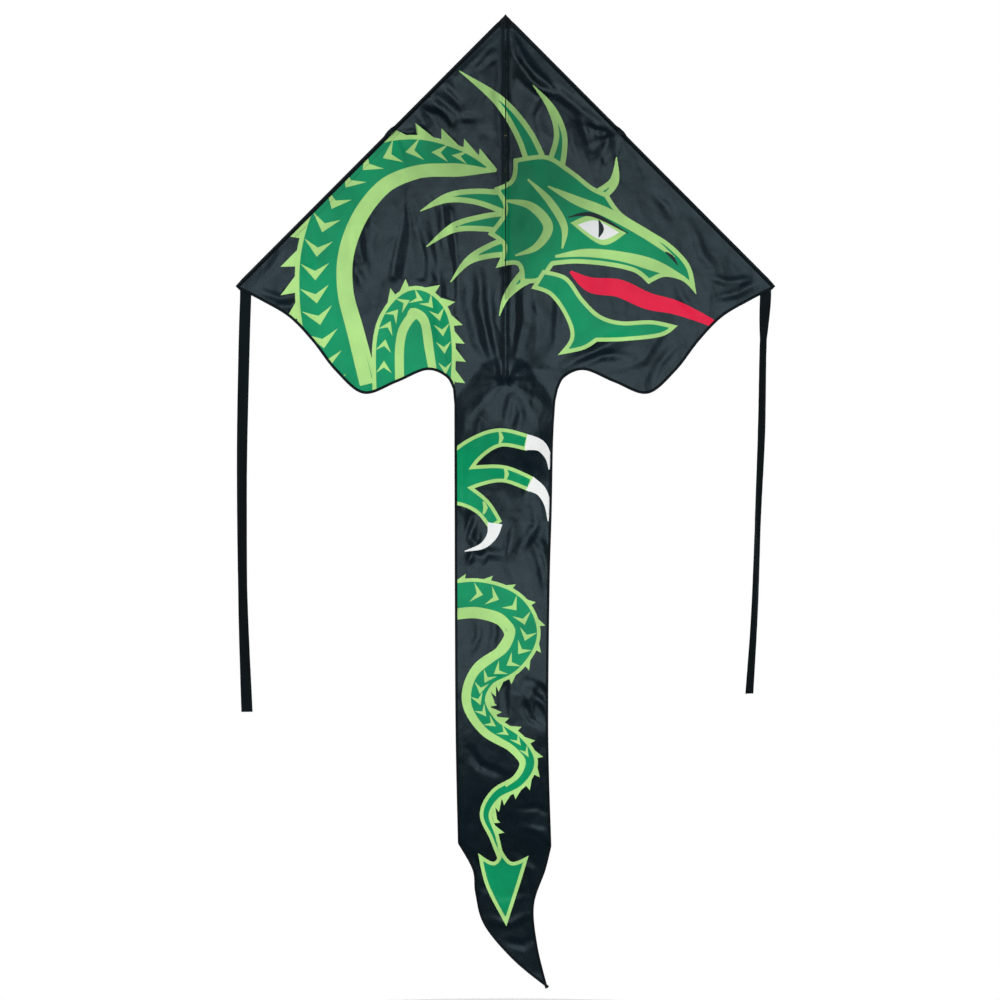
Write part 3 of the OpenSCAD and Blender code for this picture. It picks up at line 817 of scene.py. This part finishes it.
def cut_cloth():
    """Triangulates the whole cloth so that edges follow the print, and names each triangle's ink."""
    points, edges = [], []

    def chain(line, closed=True):
        base = len(points)
        points.extend(line)
        n = len(line)
        edges.extend((base + i, base + (i + 1) % n) for i in range(n if closed else n - 1))

    chain(SILHOUETTE)
    for side in (-HINGE_X, HINGE_X):
        z = np.arange(-20.0, FOLD_Z, -6.0)
        chain([(side, v) for v in [-(HINGE_X * ES + NOSE_W) / EC, *z, FOLD_Z]], False)
    chain([(v, FOLD_Z) for v in np.linspace(-FOOT, FOOT, 40)], False)
    for poly, _, inset in PRINT:
        if inset:
            for a, b in contour(poly, inset):
                base = len(points)
                points.extend([a, b])
                edges.append((base, base + 1))
        else:
            chain(poly)
    taken = set()
    for a, b in edges:
        (x0, z0), (x1, z1) = points[a], points[b]
        n = max(1, int(math.hypot(x1 - x0, z1 - z0) / 2))
        for k in range(n + 1):
            taken.add((round((x0 + (x1 - x0) * k / n) / 3), round((z0 + (z1 - z0) * k / n) / 3)))
    rows = np.arange(TAIL_LOW, 0, STEP * 0.866)
    gx, gz = [], []
    for i, z in enumerate(rows):
        xs = np.arange(-612, 612, STEP) + (STEP / 2 if i % 2 else 0)
        gx.append(xs)
        gz.append(np.full(len(xs), z))
    # finer rows beside the spine and over it, where the cloth is gathered
    fx, fz = np.meshgrid(np.array([-6, -4, -2, 0, 2, 4, 6, -11, 11, -14, 14]), np.arange(-840, -12, 5.0))
    gx, gz = np.concatenate(gx + [fx.ravel()]), np.concatenate(gz + [fz.ravel()])
    keep = inside(SILHOUETTE, gx, gz)
    gx, gz = gx[keep], gz[keep]
    free = np.array([(round(a / 3), round(b / 3)) not in taken for a, b in zip(gx, gz)])
    points.extend(zip(gx[free], gz[free]))
    got = geometry.delaunay_2d_cdt([Vector(p) for p in points], edges, [], 0, 0.02, False)
    v = np.array([(p.x, p.y) for p in got[0]])
    f = np.array([t for t in got[2] if len(t) == 3])
    mid = v[f].mean(1)
    a, b, c = v[f[:, 0]], v[f[:, 1]], v[f[:, 2]]
    area = ((b - a)[:, 0] * (c - a)[:, 1] - (b - a)[:, 1] * (c - a)[:, 0]) / 2
    good = inside(SILHOUETTE, mid[:, 0], mid[:, 1]) & (np.abs(area) > 0.004)
    f, mid, area = f[good], mid[good], area[good]
    f[area < 0] = f[area < 0][:, ::-1]
    ink = np.zeros(len(f), int)
    for poly, colour, inset in PRINT:
        hit = inside(poly, mid[:, 0], mid[:, 1])
        if inset:
            at = np.flatnonzero(hit)
            hit[at] = distance(poly, mid[at, 0], mid[at, 1]) > inset
        ink[hit] = colour
    return v, f, mid, ink


CLOTH_V, CLOTH_F, CLOTH_MID, CLOTH_INK = cut_cloth()
CLOTH_Y = lie(CLOTH_V[:, 0], CLOTH_V[:, 1])


def cloth_piece(name, chosen):
    f = CLOTH_F[chosen]
    used, index = np.unique(f, return_inverse=True)
    verts = place(CLOTH_V[used, 0], CLOTH_Y[used], CLOTH_V[used, 1])
    return make_mesh(name, verts, index.reshape(f.shape), INKS, CLOTH_INK[chosen])


mx, mz = CLOTH_MID[:, 0], CLOTH_MID[:, 1]
above = (mz > FOLD_Z) | (np.abs(mx) > 125)
for side, word in ((-1, "left"), (1, "right")):
    a = place(side * FOOT, 0, FOLD_Z)

sails = {
    "left": cloth_piece("left_sail", above & (mx < -HINGE_X)),
    "right": cloth_piece("right_sail", above & (mx > HINGE_X)),
}
centre_strip = cloth_piece("centre_strip", above & (np.abs(mx) < HINGE_X))
tail = cloth_piece("tail_cloth", ~above)
for word, sail in sails.items():
    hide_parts(f"{word}_sail_panel")
    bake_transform(sail)
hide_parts("spine_end_patch")
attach(centre_strip, "centre")
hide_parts("tail_panel")
TAIL_BLEND = (tuple(place(0, 0, FOLD_Z)), tuple(place(0, 0, FOLD_Z - 70)))
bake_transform(tail)

# ------------------------------------------------------------------ strips, hems and stitches


def resample(line, gap):
    """The line again, with a point every gap millimetres."""
    p = np.asarray(line, float)
    s = np.concatenate([[0], np.cumsum(np.linalg.norm(np.diff(p, axis=0), axis=1))])
    n = max(2, int(s[-1] / gap) + 1)
    at = np.linspace(0, s[-1], n)
    return np.stack([np.interp(at, s, p[:, k]) for k in range(p.shape[1])], -1)


def inward(line):
    """Unit normals in the plan, to the left of a line's direction."""
    d = np.gradient(line, axis=0)
    d /= np.linalg.norm(d, axis=1)[:, None] + 1e-9
    return np.stack([-d[:, 1], d[:, 0]], -1)


def hem(name, line, width, material, turn=1, thick=0.7, seed=1, pinch=0):
    """A turned and sewn edge: a flat tube wrapped over the cloth's edge, along a line of the plan."""
    line = resample(line, 5.0)
    n = inward(line) * turn
    profile = [(width, -0.15), (width * 0.7, -0.55), (width * 0.3, -0.8), (0.6, -0.75), (-0.3, -0.35),
               (-0.3, 0.35), (0.6, 0.75), (width * 0.3, 0.8), (width * 0.7, 0.55), (width, 0.15)]
    verts = []
    m = len(profile)
    wob = [noise.noise(Vector((i * 0.37, seed, 0))) for i in range(len(line))]
    for i, (p, d) in enumerate(zip(line, n)):
        slim = min(1.0, 0.25 + i * 5.0 / pinch) if pinch else 1.0
        for w, y in profile:
            q = p + d * (w * slim * (1 + 0.06 * wob[i]))
            verts.append((q[0], y * thick / 0.7 + 0.25 * wob[i] * (w < width * 0.6), q[1]))
    v = np.array(verts)
    base = lie(v[:, 0], v[:, 2])
    faces = quads(len(line), m, closed=True)
    faces.append(tuple(range(m)))
    faces.append(tuple((len(line) - 1) * m + k for k in range(m))[::-1])
    return make_mesh(name, place(v[:, 0], v[:, 1] + base, v[:, 2]), faces, [material])


def stitches(name, runs, length=2.7, gap=4.2, thick=0.34):
    """Thread lying on the surface: each run is points in millimetres (x, y, z in the plan)."""
    verts, faces = [], []
    for run in runs:
        path = resample(run, gap)
        for a, b in zip(path, path[1:]):
            d = b - a
            ln = np.linalg.norm(d)
            if ln < 1e-6 or ln > 4 * gap:
                continue
            d /= ln
            up = np.array([0, 1.0, 0]) - d * d[1]
            up /= np.linalg.norm(up) + 1e-9
            side = np.cross(d, up)
            base = len(verts)
            for t, r in ((0.0, 0.35), (0.25, 1.0), (0.75, 1.0), (1.0, 0.35)):
                c = a + d * (t * length)
                for k in range(5):
                    ang = 2 * math.pi * k / 5
                    verts.append(c + (side * math.cos(ang) + up * math.sin(ang)) * thick * r)
            faces += [tuple(base + i for i in quad) for quad in quads(4, 5, closed=True)]
            faces.append(tuple(base + k for k in range(5)))
            faces.append(tuple(base + 15 + k for k in range(5))[::-1])
    v = np.array(verts)
    return make_mesh(name, place(v[:, 0], v[:, 1], v[:, 2]), faces, [THREAD])


def on_cloth(line, off):
    """A line of the plan laid on the cloth, off behind it."""
    p = resample(line, 4.0)
    return np.stack([p[:, 0], lie(p[:, 0], p[:, 1]) + off, p[:, 1]], -1)


def shifted(line, w, turn=1):
    p = resample(line, 4.0)
    return p + inward(p) * turn * w


def patch(name, poly, material, face, thick=0.45, pitch=5.0, gap=0.12):
    """A second layer of cloth sewn on one face, front (-1) or back (+1)."""
    ring = resample(list(poly) + [poly[0]], pitch)[:-1]
    v, tri = fill(ring, pitch, 1.2, simple=True)
    rim = np.clip(distance(ring, v[:, 0], v[:, 1]) / 1.6, 0, 1)
    base = lie(v[:, 0], v[:, 1])
    y0 = base + face * gap
    y1 = base + face * (gap + thick * (0.45 + 0.55 * rim))
    verts = np.concatenate([place(v[:, 0], y0, v[:, 1]), place(v[:, 0], y1, v[:, 1])])
    return make_mesh(name, verts, two_layers([t[::face] for t in tri], len(v)), [material])


def leading_sleeve(side, word):
    """The doubled black strip that wraps round a spar, opened behind for the spreader's hook."""
    s_at = np.concatenate([np.arange(12, HOOK_AT - 30, 6.0), np.arange(HOOK_AT - 30, HOOK_AT + 30, 2.0),
                           np.arange(HOOK_AT + 30, EDGE_L - 4, 6.0), [EDGE_L - 0.4]])
    verts = []
    for s in s_at:
        swell = math.exp(-((s - HOOK_AT) / 13.0) ** 4)
        near_end = min(1.0, (s + 6) / 40) * min(1.0, (EDGE_L - s + 8) / 30)
        r = (3.75 + 2.35 * swell) * (0.45 + 0.55 * near_end)
        pucker = (0.28 * noise.noise(Vector((s * 0.11, side * 3.1, 0)))
                  + 0.12 * noise.noise(Vector((s * 0.43, side, 5))))
        row = [(SEAM_W + 2.2, -0.35), (SEAM_W + 0.6, -0.75 - 0.3 * pucker), (SEAM_W - 1.0, -1.5 - pucker)]
        for turn in np.radians(range(-30, 211, 30)):
            rr = r + pucker * 0.6
            row.append((4.0 - rr * math.sin(turn), -rr * math.cos(turn)))
        row += [(SEAM_W + 1.0, 1.9 + pucker), (SEAM_W + 5.0, 1.15 + 0.5 * pucker),
                (SEAM_W + 9.0, 0.95 - 0.4 * pucker), (SEAM_W + 12.4, 0.7)]
        for w, y in row:
            x, z = on_edge(s, w)
            x = max(x, HINGE_X + 3)
            # slim next to the spine, so the wing can fold past it
            slim = 0.3 + 0.7 * (x - HINGE_X - 3)
            verts.append((side * x, max(-slim, min(slim, y)), z))
    v = np.array(verts)
    v[:, 1] += lie(v[:, 0], v[:, 2]) * (edge_w(v[:, 0], v[:, 2]) > SEAM_W)
    faces = []
    for quad in quads(len(s_at), len(row)):
        a, b = v[quad[0]], v[quad[1]]
        i = quad[0] // len(row)
        w_mid = (edge_w(a[0], a[2]) + edge_w(b[0], b[2])) / 2
        behind = (a[1] + b[1]) / 2 > 0.2
        if not (behind and abs((s_at[i] + s_at[i + 1]) / 2 - HOOK_AT) < 14 and w_mid < 12):
            faces.append(quad if side > 0 else quad[::-1])
    return plan_mesh(f"{word}_leading_edge_sleeve", v, faces, SLEEVE)


for side, word in ((-1, "left"), (1, "right")):
    body = f"{word}_wing"
    sleeve = leading_sleeve(side, word)
    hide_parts(f"{word}_edge_sleeve")
    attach(sleeve, body)

    edge = [(side * x, z) for x, z in TRAILING]
    trailing = hem(f"{word}_trailing_hem_tape", [(side * 606.4, -612.6)] + edge, 6.0, HEM, turn=-side,
                   seed=side + 4, pinch=16)
    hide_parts(f"{word}_trailing_hem")
    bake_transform(trailing)

    tip = patch(f"{word}_tip_patch", [(side * x, z) for x, z in (
        on_edge(EDGE_L - 2, SEAM_W + 1), on_edge(EDGE_L - 78, SEAM_W + 1), (556, -634))][::side],
        PATCH, 1)
    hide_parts(f"{word}_wing_tip_patch")
    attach(tip, body)

    nose = patch(f"{word}_nose_reinforcement", [(side * x, z) for x, z in (
        (HINGE_X + 0.6, -24), on_edge(52, SEAM_W + 3), (HINGE_X + 0.6, -80))][::side], PATCH, 1,
        pitch=2.5, gap=0.35)
    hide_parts(f"{word}_nose_patch")
    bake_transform(nose)

    front, back = [
        [(side * x, z) for x, z in (on_edge(s, SEAM_W + w) for s in np.arange(start, EDGE_L - end, 8))]
        for w, start, end in ((0.9, 30, 6), (11, 40, 24))]
    inner = shifted(edge, 4.8, -side)
    runs = [on_cloth(line, off) for line, off in (
        (front, -1.0), (back, -0.25), (back, 1.15), (inner, -0.85), (inner, 0.85))]
    sewn = stitches(f"{word}_wing_stitching", runs)
    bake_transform(sewn)

# ------------------------------------------------------------------ spine sleeve and nose

verts = []
z_at = np.arange(-10.0, SPINE_END - 8, -6.0)
profile = [(-9.5, 0.45), (-7.5, 0.8), (-5.5, 1.2), (-3.8, 2.4), (-2.2, 3.5), (0, 3.9),
           (2.2, 3.5), (3.8, 2.4), (5.5, 1.2), (7.5, 0.8), (9.5, 0.45)]
for z in z_at:
    pull = 0.22 * noise.noise(Vector((z * 0.12, 1, 9)))
    for x, y in profile:
        verts.append((x * (1 + 0.04 * pull), y + pull * (0.5 if abs(x) > 4 else 0.8), z))
spine_back = plan_mesh("spine_sleeve_tape", verts, quads(len(z_at), len(profile), flip=True), SLEEVE)
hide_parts("spine_sleeve")
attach(spine_back, "centre")

runs = []
for x in (-7.2, 7.2):
    line = [(x, z) for z in np.arange(-36, SPINE_END - 4, -8)]
    runs.append(on_cloth(line, -0.2))
    runs.append(on_cloth(line, 1.15))
for z in (SPINE_END - 5.5, SPINE_END - 9.5):
    runs.append(on_cloth([(x, z) for x in np.linspace(-9, 9, 6)], -0.3))
    runs.append(on_cloth([(x, z) for x in np.linspace(-9, 9, 6)], 0.9))
centre_stitches = stitches("centre_stitching", runs)
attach(centre_stitches, "centre")


def nose_cap():
    """A square of tape folded over the nose, pinched round the spine's end."""
    rows, cols = 12, 9
    verts = []
    for face in (-1, 1):
        for i in range(rows + 1):
            z = -1.2 - 33 * i / rows
            half = min(5.4, 1.0 + 7.2 * (i / rows) * 3.2)
            for k in range(cols):
                u = -1 + 2 * k / (cols - 1)
                t = math.sqrt(max(0.0, 1 - (u * 0.98) ** 2))
                deep = 4.55 * min(1.0, (i + 0.6) / 2.0) * t ** 0.8 + 0.5
                crinkle = 0.18 * noise.noise(Vector((u * 3, z * 0.3, face)))
                verts.append((half * u, face * (deep + crinkle), z))
    block = (rows + 1) * cols
    faces = quads(rows + 1, cols)
    faces += [tuple(i + block for i in quad[::-1]) for quad in faces]
    faces += [(k + 1, k, block + k, block + k + 1) for k in range(cols - 1)]
    for i in range(rows):
        for k in (0, cols - 1):
            a = i * cols + k
            quad = (a, a + cols, a + cols + block, a + block)
            faces.append(quad if k == 0 else quad[::-1])
    return plan_mesh("nose_cap_tape", verts, faces, PATCH)


nose_tape = nose_cap()
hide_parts("nose_binding")
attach(nose_tape, "centre")

# ------------------------------------------------------------------ tail hem

for line, turn, word in ((TAIL_LEFT, -1, "left"), (TAIL_RIGHT, 1, "right")):
    tape = hem(f"tail_{word}_hem_tape", line, 5.5, HEM, turn=-turn, seed=turn + 9)
    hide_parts("tail_hem")
    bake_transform(tape)
runs = []
for line, turn in ((TAIL_LEFT, 1), (TAIL_RIGHT, -1)):
    inner = shifted(line[:-3], 4.4, turn)
    runs.append(on_cloth(inner, -0.85))
    runs.append(on_cloth(inner, 0.85))
tail_sewn = stitches("tail_stitching", runs)
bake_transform(tail_sewn)

# ------------------------------------------------------------------ streamers


def streamer(side, word, length, path, twist):
    """A ribbon hung from a wing tip, its top end tucked behind the sail and sewn down. path gives
    how far it strays in x and y down its length, and twist how far it has turned."""
    top_x, top_z, tuck, wide = side * 585.5, -642.0, 18.0, 25.4
    rows = int((length + tuck) / 6)
    cols = 7
    drift = spline(path, 1.0)
    d_at = np.array([p[0] for p in drift])
    turn_d, turn_a = zip(*twist)
    verts = []
    for i in range(rows + 1):
        d = (length + tuck) * i / rows - tuck
        x = np.interp(d, d_at, [p[1] for p in drift])
        y = np.interp(d, d_at, [p[2] for p in drift]) + 1.6
        a = math.radians(np.interp(d, turn_d, turn_a))
        cup = 1.6 * math.sin(d / 70.0 + side) * min(1.0, max(0.0, d - 6) / 90)
        for k in range(cols):
            u = (k / (cols - 1) - 0.5) * wide
            curl = cup * (1 - (2 * u / wide) ** 2)
            curl += 0.25 * noise.noise(Vector((d * 0.05, u * 0.1, side * 2.0)))
            # the tucked end follows the slant of the sail's edge
            lift = (u * side * 0.5 + 8.0) * min(1.0, max(0.0, -d) / tuck)
            verts.append((top_x + x + u * math.cos(a) - curl * math.sin(a),
                          y + u * math.sin(a) + curl * math.cos(a), top_z - d + lift))
    obj = plan_mesh(f"{word}_streamer_ribbon", verts, quads(rows + 1, cols, flip=True), STREAMER)
    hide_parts(f"{word}_streamer")
    tuple(place(top_x, 1.6, top_z))
    tuple(place(top_x, 1.6, top_z - 60))
    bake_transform(obj)
    cross = []
    for a, b in (((-9, 4), (9, 13)), ((9, 4), (-9, 13)), ((-9, 4), (9, 4)), ((-9, 13), (9, 13))):
        cross.append([(top_x + a[0], 2.0, top_z + a[1] + side * a[0] * 0.5),
                      (top_x + b[0], 2.0, top_z + b[1] + side * b[0] * 0.5)])
    bar = stitches(f"{word}_streamer_stitching", cross, length=2.2, gap=3.0)
    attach(bar, f"{word}_wing")
    return obj


left_ribbon = streamer(-1, "left", 930, [
    (-20, 0, 0), (0, 0, 0), (90, -3, 2), (320, -8, 5), (500, -8, 0), (700, -5, -5), (930, 3, 3)],
    [(0, 0), (120, 10), (400, 30), (650, 40), (830, 26), (930, 8)])
right_ribbon = streamer(1, "right", 889, [
    (-20, 0, 0), (0, 0, 0), (110, -5, 5), (300, -8, 12), (480, -16, 5), (700, -25, -9), (889, -36, 4)],
    [(0, 0), (25, 14), (90, 48), (300, 44), (520, 54), (760, 48), (889, 40)])

# ------------------------------------------------------------------ keel


def keel_outline():
    """The keel seen from the side: y in front of the sail is negative."""
    seam, start, end, round_the_eyelet = -2.9, -66.0, -644.0, 16.3
    tow = np.array([-SAIL_Y, TOW_Z])
    top, low = np.array([seam, start]), np.array([seam, end])
    first = math.atan2(top[0] - tow[0], tow[1] - top[1])
    last = math.atan2(tow[0] - low[0], low[1] - tow[1])
    first, last = first % (2 * math.pi), last % (2 * math.pi)
    arc = [tow + round_the_eyelet * np.array([math.cos(a), math.sin(a)])
           for a in np.linspace(first, last, 12)]
    return [tuple(top)] + [tuple(p) for p in arc] + [tuple(low)]


KEEL = keel_outline()


def keel_lie(y, z):
    """How far the keel's cloth strays sideways: slack between its eyelet and its seam."""
    y, z = np.asarray(y, float), np.asarray(z, float)
    front = smooth(-SAIL_Y + 26, -SAIL_Y + 70, y)
    seam = smooth(-4, -34, y)
    out = 1.1 * rumple(y * 1.3, z * 0.6, 46, 11) + 0.9 * rumple(y, z, 70, 12, True)
    for dz, amp in ((-90, 1.6), (-170, -1.8), (-250, 1.6), (110, -1.4)):
        out += crease(y, z, [(-SAIL_Y + 20, TOW_Z + dz * 0.1), (-20, TOW_Z + dz)], amp, 9, 12)
    return out * front * seam * 0.9


def keel_sheet(name, ring, material, off, pitch=6.0, hole=None, thick=0.5):
    """Cloth in the plane of the keel, off to one side of it."""
    v, tri = fill(resample(list(ring) + [ring[0]], 4.0)[:-1], pitch, 1.5, hole)
    x = keel_lie(v[:, 0], v[:, 1]) + off
    verts = np.concatenate([
        place(x + thick / 2, v[:, 0], v[:, 1]), place(x - thick / 2, v[:, 0], v[:, 1])])
    return make_mesh(name, verts, two_layers([t[::-1] for t in tri], len(v)), [material])


EYELET_HOLE = (-SAIL_Y, TOW_Z, EYELET_R)
keel = keel_sheet("keel_cloth", KEEL, INKS[DARK], 0.0, hole=EYELET_HOLE)
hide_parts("keel")
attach(keel, "keel")

# turned edges along both outer sides and round the point, on both faces
rim = resample(KEEL, 4.0)
inner = rim + inward(rim) * 7.5
if not inside(KEEL, inner[10:11, 0], inner[10:11, 1])[0]:
    inner = rim - inward(rim) * 7.5
keep = inside(KEEL, inner[:, 0], inner[:, 1])
first, last = np.flatnonzero(keep)[[0, -1]]
band = [tuple(p) for p in rim[first:last + 1]] + [tuple(p) for p in inner[first:last + 1][::-1]]
keel_trim = []
for face, word in ((1, "right"), (-1, "left")):
    tape = keel_sheet(f"keel_hem_{word}_face", band, HEM, face * 0.55, pitch=4.0)
    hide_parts("keel_hem")
    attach(tape, "keel")
    pad = keel_sheet(f"keel_patch_{word}_face", disc(-SAIL_Y, TOW_Z, 9.4, 40), PATCH, face * 0.72,
                     pitch=2.5, hole=EYELET_HOLE)
    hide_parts("keel_patch")
    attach(pad, "keel")
    keel_trim += [tape, pad]
sew = (rim * 0.18 + inner * 0.82)[first + 1:last]
runs = []
for face in (1, -1):
    x = keel_lie(sew[:, 0], sew[:, 1]) + face * 0.86
    runs.append(np.stack([x, sew[:, 0], sew[:, 1]], -1))
    seam = np.stack([np.full(140, -8.0), np.linspace(-80, -630, 140)], -1)
    runs.append(np.stack([np.full(140, face * 0.34), seam[:, 0], seam[:, 1]], -1))
keel_sewn = stitches("keel_stitching", runs, thick=0.3)
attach(keel_sewn, "keel")
keel_trim.append(keel_sewn)

# ------------------------------------------------------------------ carried-over CAD nodes


def repaint(nodes, material):
    for name in nodes:
        mesh = NODES[name].data
        mesh.materials.clear()
        mesh.materials.append(material)


repaint(["spine_rod", "spreader_rod", "left_edge_spar", "right_edge_spar"], ROD)
repaint(["spine_nose_cap", "spine_tail_cap"] + [f"{s}_spar_{e}_cap" for s in ("left", "right")
                                               for e in ("nose", "tip")], CAP)
repaint(["left_spreader_hook", "right_spreader_hook"], HOOK)
repaint(["tow_eyelet", "tow_eyelet_washer"], BRASS)

# ------------------------------------------------------------------ stage, light and camera


FLOOR_R, FLOOR_BELOW_NOSE = 1.45, 2.42   # metres


def flat_stage(name, size, z, colour):
    """A round flat floor."""
    ring = [(x, y, z) for x, y in disc(0, 0, size, 96)]
    obj = make_mesh(name, ring, [tuple(range(len(ring)))], [])
    n = Nodes(name, Roughness=0.7)
    n.link(n.ramp(n.noise(3, 3), [(0.3, shade(colour, 0.985)), (0.7, colour)]), "Base Color")
    obj.data.materials.append(n.material)
    return obj


floor = flat_stage("studio_floor", FLOOR_R, NOSE_Z * MM - FLOOR_BELOW_NOSE, (0.86, 0.86, 0.86))
floor.location.y = SAIL_Y * MM
floor.visible_glossy = False

world = bpy.data.worlds.new("studio")
scene.world = world
world.use_nodes = True
tree = world.node_tree
tree.nodes.clear()
out = tree.nodes.new("ShaderNodeOutputWorld")
seen, lit = tree.nodes.new("ShaderNodeBackground"), tree.nodes.new("ShaderNodeBackground")
seen.inputs["Color"].default_value = (1, 1, 1, 1)
seen.inputs["Strength"].default_value = 1.0
lit.inputs["Color"].default_value = (0.94, 0.97, 1.0, 1)
lit.inputs["Strength"].default_value = 0.03
path = tree.nodes.new("ShaderNodeLightPath")
mix = tree.nodes.new("ShaderNodeMixShader")
tree.links.new(path.outputs["Is Camera Ray"], mix.inputs["Fac"])
tree.links.new(lit.outputs[0], mix.inputs[1])
tree.links.new(seen.outputs[0], mix.inputs[2])
tree.links.new(mix.outputs[0], out.inputs["Surface"])


def softbox(name, at, aim, size, power, colour=(1, 1, 1)):
    light = bpy.data.lights.new(name, "AREA")
    light.shape = "RECTANGLE"
    light.size, light.size_y = size
    light.energy = power
    light.color = colour
    obj = bpy.data.objects.new(name, light)
    scene.collection.objects.link(obj)
    obj.location = at
    obj.rotation_euler = (Vector(aim) - Vector(at)).to_track_quat("-Z", "Y").to_euler()
    obj.visible_camera = False
    return obj


middle = (0, SAIL_Y * MM, NOSE_Z * MM - 1.0)
panel = softbox("panel", (0.0, SAIL_Y * MM - 10.4, NOSE_Z * MM - 0.36), middle, (4.8, 2.9), 96,
                (0.66, 0.90, 1.0))
panel.rotation_euler = (math.radians(90), 0, 0)
for name, at, power in (("key", (-5.4, -2.6, 0.6), 560), ("fill", (5.4, -2.6, 0.0), 440)):
    # each side light is two: half of its power makes no reflections
    softbox(name, at, middle, (4.4, 4.6), power * 0.5, (0.98, 0.99, 1.0)).visible_glossy = False
    softbox(name + "_sheen", at, middle, (4.4, 4.6), power * 0.5, (0.96, 0.99, 1.0))
softbox("back", (2.4, 3.8, 0.4), middle, (2.8, 3.4), 110)
softbox("back_left", (-3.2, 2.8, -0.4), middle, (2.4, 3.0), 60)

camera = bpy.data.cameras.new("camera")
camera.sensor_width = 36.0
FAR, ACROSS = 8.0, 2.252     # metres from the sail, and what the picture takes in there
camera.lens = camera.sensor_width * FAR / ACROSS
camera.clip_end = 60
cam = bpy.data.objects.new("camera", camera)
scene.collection.objects.link(cam)
cam.location = (-0.0124, SAIL_Y * MM - FAR, NOSE_Z * MM - 1.0945)
cam.rotation_euler = (math.radians(90), 0, 0)
scene.camera = cam
scene.view_settings.view_transform = "Standard"
scene.view_settings.look = "None"
